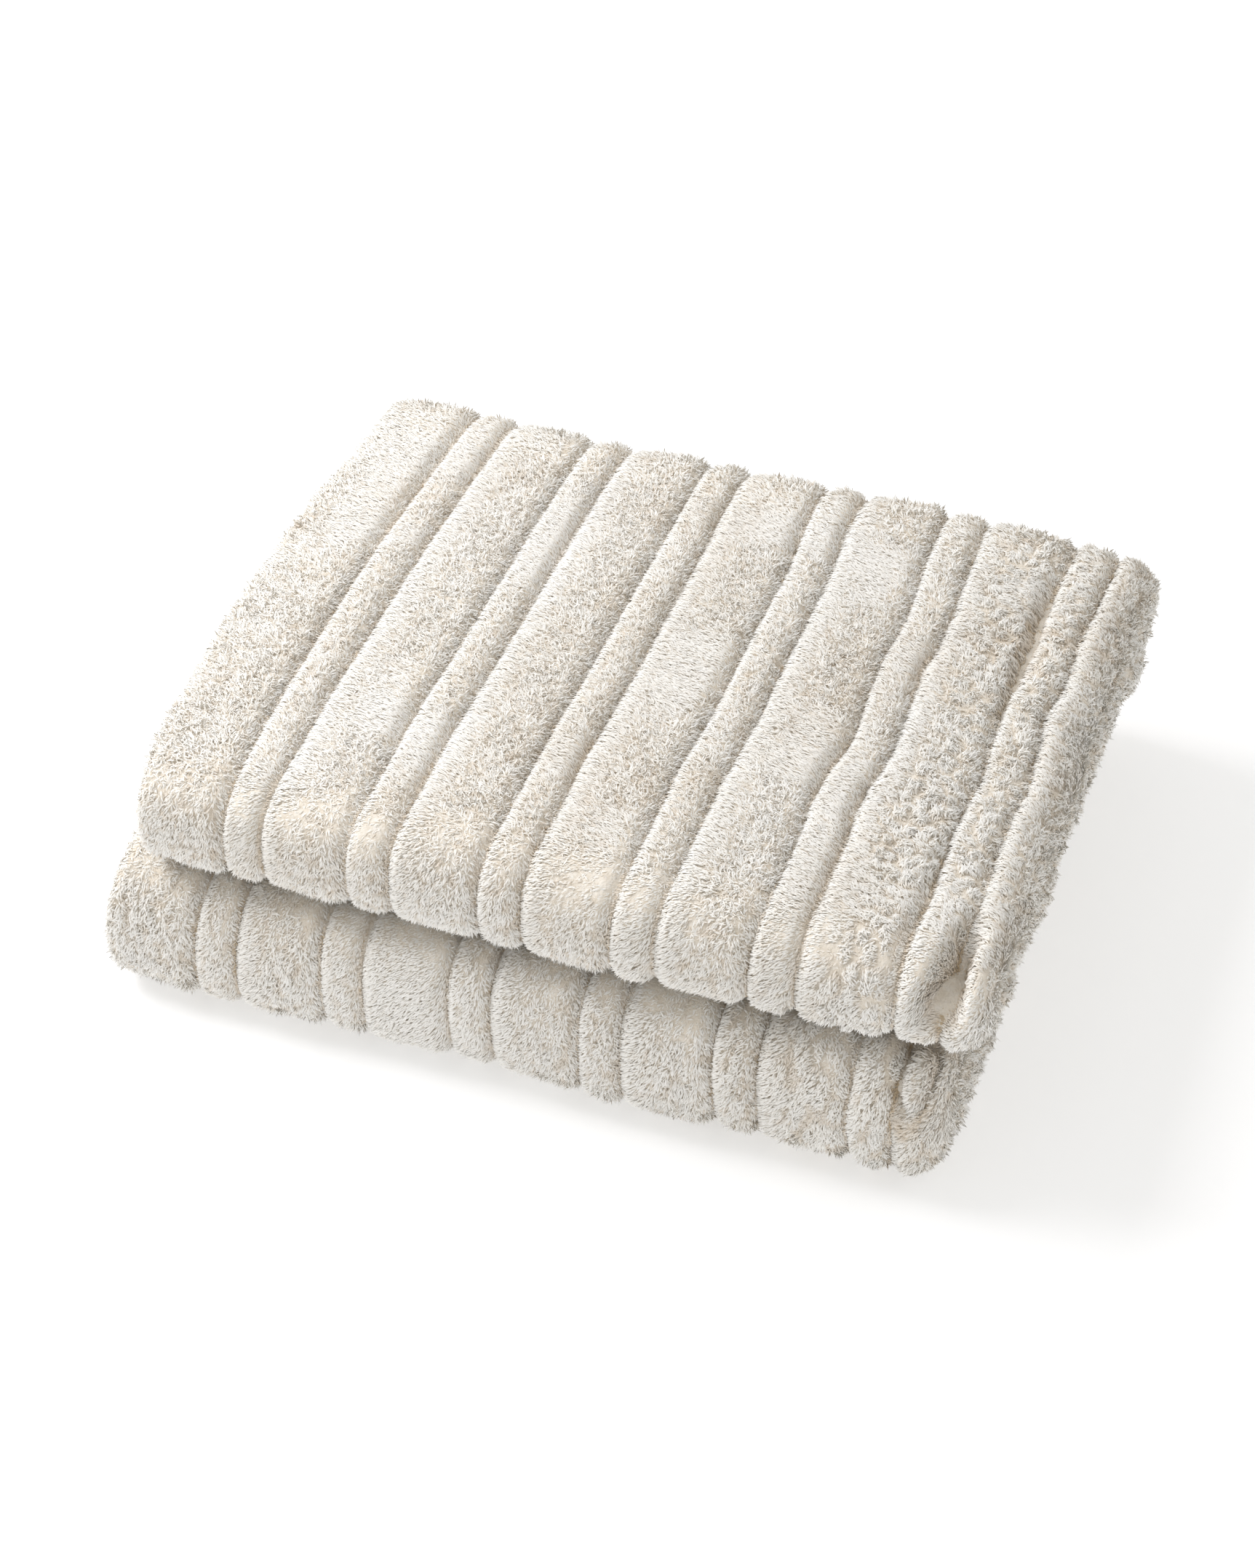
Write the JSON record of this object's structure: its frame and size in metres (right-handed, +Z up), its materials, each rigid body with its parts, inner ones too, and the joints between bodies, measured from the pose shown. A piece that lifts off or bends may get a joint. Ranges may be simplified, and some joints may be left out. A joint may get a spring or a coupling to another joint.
{
  "type": "folded throw blanket",
  "caption": "Ribbed ivory plush throw folded into a compact stack; opens like a book about its back fold.",
  "frame": {"origin": "centre of the footprint, on the surface that the stack rests on", "axes": "+X to the right along the front folds and across the ribs, -Y towards the front folds, +Z up"},
  "size_m": [0.399, 0.334, 0.1276],
  "materials": {
    "plush": "long-pile ribbed plush, ivory",
    "hem": "turned and closed plush hem, ivory",
    "thread": "spun polyester sewing thread, ivory",
    "label": "blank woven satin label, white"
  },
  "bodies": {
    "lower_half": {"bottom_panel": "plush", "lower_front_fold": "plush", "lower_inner_panel": "plush", "lower_side_hem": "hem", "lower_end_hem": "hem", "lower_hem_thread": "thread", "care_label": "label"},
    "back_fold": {"lower_back_bend": "plush", "back_panel": "plush", "upper_back_bend": "plush", "back_side_hem": "hem"},
    "upper_half": {"upper_inner_panel": "plush", "upper_front_fold": "plush", "top_panel": "plush", "upper_side_hem": "hem", "upper_end_hem": "hem", "upper_hem_thread": "thread"}
  },
  "joints": [
    {"name": "lower_back_hinge", "type": "hinge", "parent": "lower_half", "child": "back_fold", "pos_m": [0, 0.14626, 0.02074], "axis": [-1, 0, 0], "range_deg": [0, 90], "deforming": ["lower_back_bend"]},
    {"name": "upper_back_hinge", "type": "hinge", "parent": "back_fold", "child": "upper_half", "pos_m": [0, 0.14626, 0.10686], "axis": [-1, 0, 0], "range_deg": [0, 90], "deforming": ["upper_back_bend"]}
  ],
  "couplings": [
    {"joint": "upper_back_hinge", "follows": "lower_back_hinge", "ratio": 1}
  ]
}
